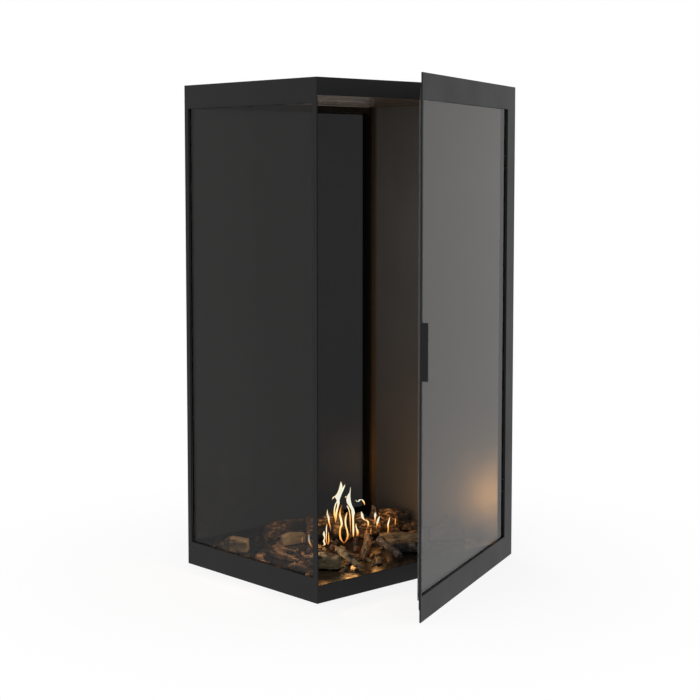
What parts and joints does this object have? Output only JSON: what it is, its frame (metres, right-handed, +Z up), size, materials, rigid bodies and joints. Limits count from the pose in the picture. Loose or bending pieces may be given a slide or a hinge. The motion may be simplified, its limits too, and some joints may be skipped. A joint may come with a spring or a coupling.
{
  "type": "three-sided gas fireplace",
  "caption": "Tall three-sided gas fireplace: dark steel case, smoked glass on the left and back, a hinged glass front door standing open, and a log-strewn burner floor.",
  "frame": {"origin": "centre of the flat base, on the floor", "axes": "+X from the free corner to the hinge column, -Y towards the door, +Z up"},
  "size_m": [0.604, 0.7088, 1.09],
  "materials": {
    "body_paint": "satin heat-resistant black",
    "door_paint": "satin heat-resistant black",
    "liner_paint": "satin brown-black, heat-toned",
    "hearth_steel": "dark brushed, heat-toned",
    "burner_steel": "heat-blued",
    "flue_steel": "bright stainless",
    "fixing_steel": "zinc plated",
    "pane_glass": "smoked, reflective",
    "door_pane_glass": "smoked, reflective",
    "gasket_cord": "woven glass-fibre tape, black",
    "ceramic_white": "unglazed",
    "brass_fitting": "turned",
    "pilot_steel": "heat-toned",
    "magnet_black": "black coated",
    "bark": "moulded ceramic-fibre log, bark",
    "split_wood": "moulded ceramic-fibre log, split face",
    "charred_wood": "moulded ceramic-fibre log, charred",
    "ember": "glowing ember lump"
  },
  "bodies": {
    "body": {"back_frame": "body_paint", "back_frame_screws": "fixing_steel", "back_gasket": "gasket_cord", "back_glass": "pane_glass", "back_glass_clips": "fixing_steel", "back_left_post": "body_paint", "base_pan": "body_paint", "burner_plate": "burner_steel", "burner_tray": "burner_steel", "catch_magnets": "magnet_black", "ceiling_front": "liner_paint", "ceiling_rear": "liner_paint", "column_casing": "body_paint", "column_liner": "liner_paint", "corner_post": "body_paint", "embers": "ember", "flame_sensor": "pilot_steel", "flue_plenum": "flue_steel", "flue_socket_inner": "flue_steel", "flue_socket_outer": "flue_steel", "gas_injector": "brass_fitting", "gas_inlet_union": "brass_fitting", "gas_pipe": "fixing_steel", "glass_rests": "ceramic_white", "hearth_plate": "hearth_steel", "hinge_screws": "fixing_steel", "hinge_washers": "brass_fitting", "left_gasket": "gasket_cord", "left_glass": "pane_glass", "left_glass_clips": "fixing_steel", "log_back_bark": "bark", "log_charred": "charred_wood", "log_front_block": "split_wood", "log_front_dark": "charred_wood", "log_left_back": "bark", "log_left_block": "split_wood", "log_left_small": "split_wood", "log_plank": "split_wood", "log_right_back": "bark", "log_right_front": "bark", "log_right_split": "split_wood", "lower_hinge_bracket": "body_paint", "lower_hinge_pin": "fixing_steel", "pilot_bracket": "pilot_steel", "pilot_burner": "pilot_steel", "spark_electrode": "ceramic_white", "top_hood": "body_paint", "upper_hinge_bracket": "body_paint", "upper_hinge_pin": "fixing_steel", "wood_chips": "split_wood"},
    "door": {"door_frame": "door_paint", "door_glass": "door_pane_glass", "door_gasket": "gasket_cord", "door_glass_clips": "fixing_steel", "door_handle": "body_paint", "door_strikes": "fixing_steel", "upper_hinge_knuckle": "door_paint", "lower_hinge_knuckle": "door_paint"}
  },
  "joints": [
    {"name": "door_hinge", "type": "hinge", "parent": "body", "child": "door", "pos_m": [0.294, -0.219, 0.545], "axis": [0, 0, 1], "range_deg": [-24.16, 65.84]}
  ]
}
